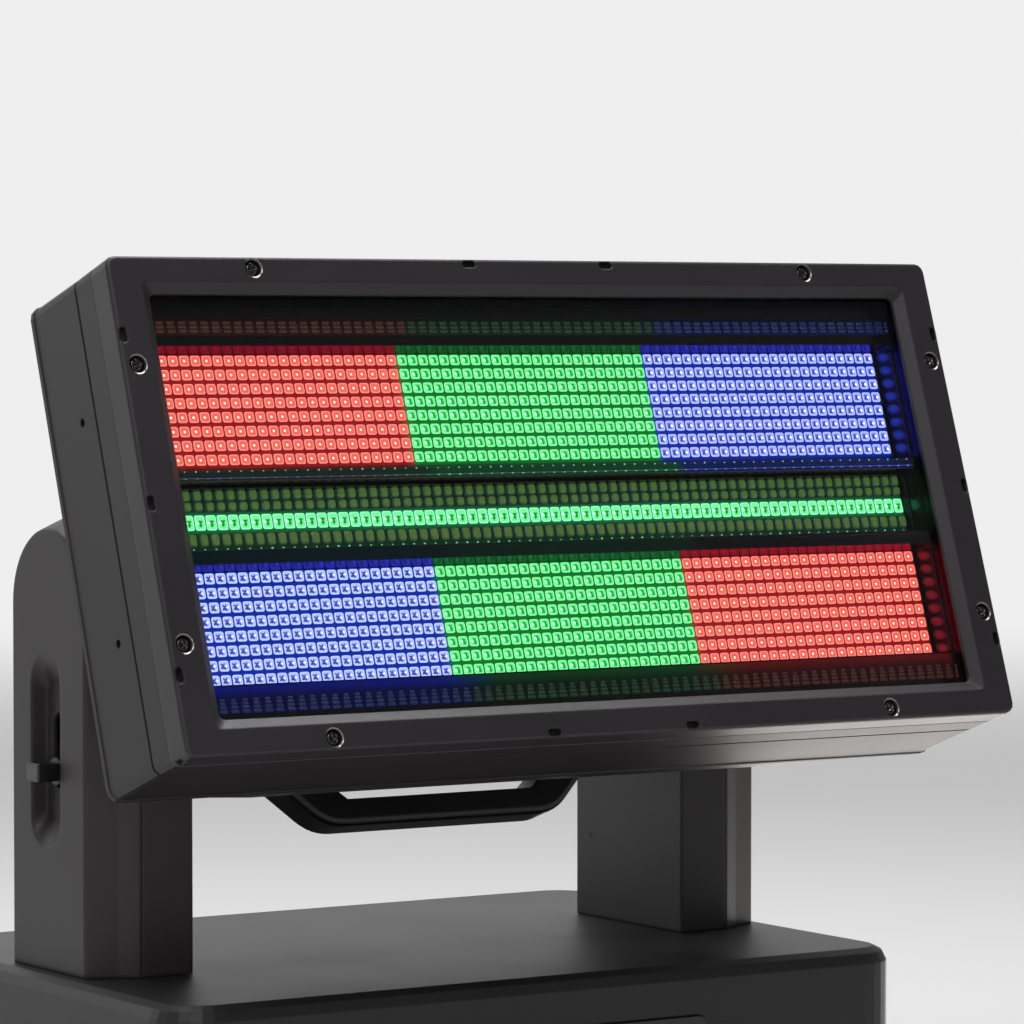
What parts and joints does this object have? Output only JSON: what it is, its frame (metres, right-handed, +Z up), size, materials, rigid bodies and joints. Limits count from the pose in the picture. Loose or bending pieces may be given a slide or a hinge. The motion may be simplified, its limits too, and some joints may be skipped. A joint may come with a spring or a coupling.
{
  "type": "tilting LED strobe light",
  "caption": "Stage strobe light: a wide flat-faced LED head behind glass, tilting between two yoke arms on a floor base.",
  "frame": {"origin": "middle of the bounding box at floor level, head at its rest tilt", "axes": "+Z up, the lamp's face towards -Y, +X to the right of someone facing the lamp"},
  "size_m": [0.4624, 0.3689, 0.4447],
  "materials": {
    "head_paint": "fine-textured charcoal powder coat",
    "frame_paint": "fine-textured charcoal powder coat",
    "cover_plastic": "satin moulded plastic",
    "arm_paint": "fine-textured charcoal powder coat",
    "base_paint": "fine-textured charcoal powder coat",
    "tray_gloss": "glossy black",
    "reflector_gloss": "glossy black",
    "front_glass": "clear tempered glass",
    "seal_rubber": "soft black",
    "screw_black": "black zinc",
    "led_board": "black solder mask",
    "circuit_board": "green solder mask",
    "bare_aluminium": "extruded",
    "machined_aluminium": "machined",
    "fan_plastic": "moulded",
    "axle_steel": "turned",
    "plate_steel": "zinc plated sheet",
    "motor_dark": "dark steel",
    "handle_plastic": "satin moulded plastic",
    "lever_metal": "satin black",
    "belt_rubber": "toothed belt",
    "foot_rubber": "matt black",
    "panel_gloss": "glossy black",
    "display_glass": "tinted window",
    "button_plastic": "satin grey",
    "socket_plastic": "moulded",
    "socket_metal": "nickel"
  },
  "bodies": {
    "base_and_yoke": {"power_supply": "bare_aluminium", "main_board": "circuit_board", "left_bearing": "axle_steel", "right_bearing": "axle_steel", "left_arm_frame": "arm_paint", "right_arm_frame": "arm_paint", "left_arm_cover": "arm_paint", "right_arm_cover": "arm_paint", "tilt_belt": "belt_rubber", "tilt_motor": "motor_dark", "base_shell": "base_paint", "base_plate": "plate_steel", "foot_front_left": "foot_rubber", "foot_front_right": "foot_rubber", "foot_back_left": "foot_rubber", "foot_back_right": "foot_rubber", "control_panel": "panel_gloss", "display_window": "display_glass", "power_inlet": "socket_plastic", "power_outlet": "socket_plastic", "fuse_holder": "socket_plastic", "data_in": "socket_metal", "data_out": "socket_metal", "safety_eye": "socket_metal"},
    "head": {"front_bezel": "head_paint", "bezel_screw_1": "screw_black", "bezel_screw_2": "screw_black", "bezel_screw_3": "screw_black", "bezel_screw_4": "screw_black", "bezel_screw_5": "screw_black", "bezel_screw_6": "screw_black", "bezel_screw_7": "screw_black", "bezel_screw_8": "screw_black", "glass_seal": "seal_rubber", "front_glass": "front_glass", "led_baffle": "tray_gloss", "upper_led_board": "led_board", "lower_led_board": "led_board", "strobe_led_board": "led_board", "strobe_reflector": "reflector_gloss", "head_frame": "frame_paint", "rear_housing": "frame_paint", "heat_sink": "bare_aluminium", "back_cover": "cover_plastic", "driver_board": "circuit_board", "fan_frame_left": "fan_plastic", "fan_frame_right": "fan_plastic", "tilt_axle_left": "axle_steel", "tilt_axle_right": "axle_steel", "carry_handle": "handle_plastic", "tilt_pulley": "machined_aluminium", "lock_disc": "axle_steel"},
    "rotor_left": {"fan_rotor_left": "fan_plastic"},
    "rotor_right": {"fan_rotor_right": "fan_plastic"},
    "drive_pulley": {"motor_pulley": "machined_aluminium"},
    "lock_slider": {"lock_lever": "lever_metal"},
    "key_menu": {"button_menu": "button_plastic"},
    "key_up": {"button_up": "button_plastic"},
    "key_down": {"button_down": "button_plastic"},
    "key_enter": {"button_enter": "button_plastic"}
  },
  "joints": [
    {"name": "head_tilt", "type": "hinge", "parent": "base_and_yoke", "child": "head", "pos_m": [0, 0.01953, 0.272], "axis": [-1, 0, 0], "range_deg": [-30, 170]},
    {"name": "motor_pulley_turn", "type": "hinge", "parent": "base_and_yoke", "child": "drive_pulley", "pos_m": [0.175, 0.01953, 0.18], "axis": [-1, 0, 0], "range_deg": [-120, 680]},
    {"name": "fan_turn_left", "type": "hinge", "parent": "head", "child": "rotor_left", "pos_m": [-0.055, 0.05241, 0.26708], "axis": [0, 0.9461, -0.3239], "continuous": true},
    {"name": "fan_turn_right", "type": "hinge", "parent": "head", "child": "rotor_right", "pos_m": [0.055, 0.05241, 0.26708], "axis": [0, 0.9461, -0.3239], "continuous": true},
    {"name": "tilt_lock_slide", "type": "slide", "parent": "base_and_yoke", "child": "lock_slider", "axis": [0, 0, 1], "range_m": [0, 0.02]},
    {"name": "press_menu", "type": "slide", "parent": "base_and_yoke", "child": "key_menu", "axis": [0, 1, 0], "range_m": [0, 0.0015], "stiffness_N_per_m": 800, "springref_m": -0.0008},
    {"name": "press_up", "type": "slide", "parent": "base_and_yoke", "child": "key_up", "axis": [0, 1, 0], "range_m": [0, 0.0015], "stiffness_N_per_m": 800, "springref_m": -0.0008},
    {"name": "press_down", "type": "slide", "parent": "base_and_yoke", "child": "key_down", "axis": [0, 1, 0], "range_m": [0, 0.0015], "stiffness_N_per_m": 800, "springref_m": -0.0008},
    {"name": "press_enter", "type": "slide", "parent": "base_and_yoke", "child": "key_enter", "axis": [0, 1, 0], "range_m": [0, 0.0015], "stiffness_N_per_m": 800, "springref_m": -0.0008}
  ],
  "couplings": [
    {"joint": "motor_pulley_turn", "follows": "head_tilt", "ratio": 4}
  ]
}
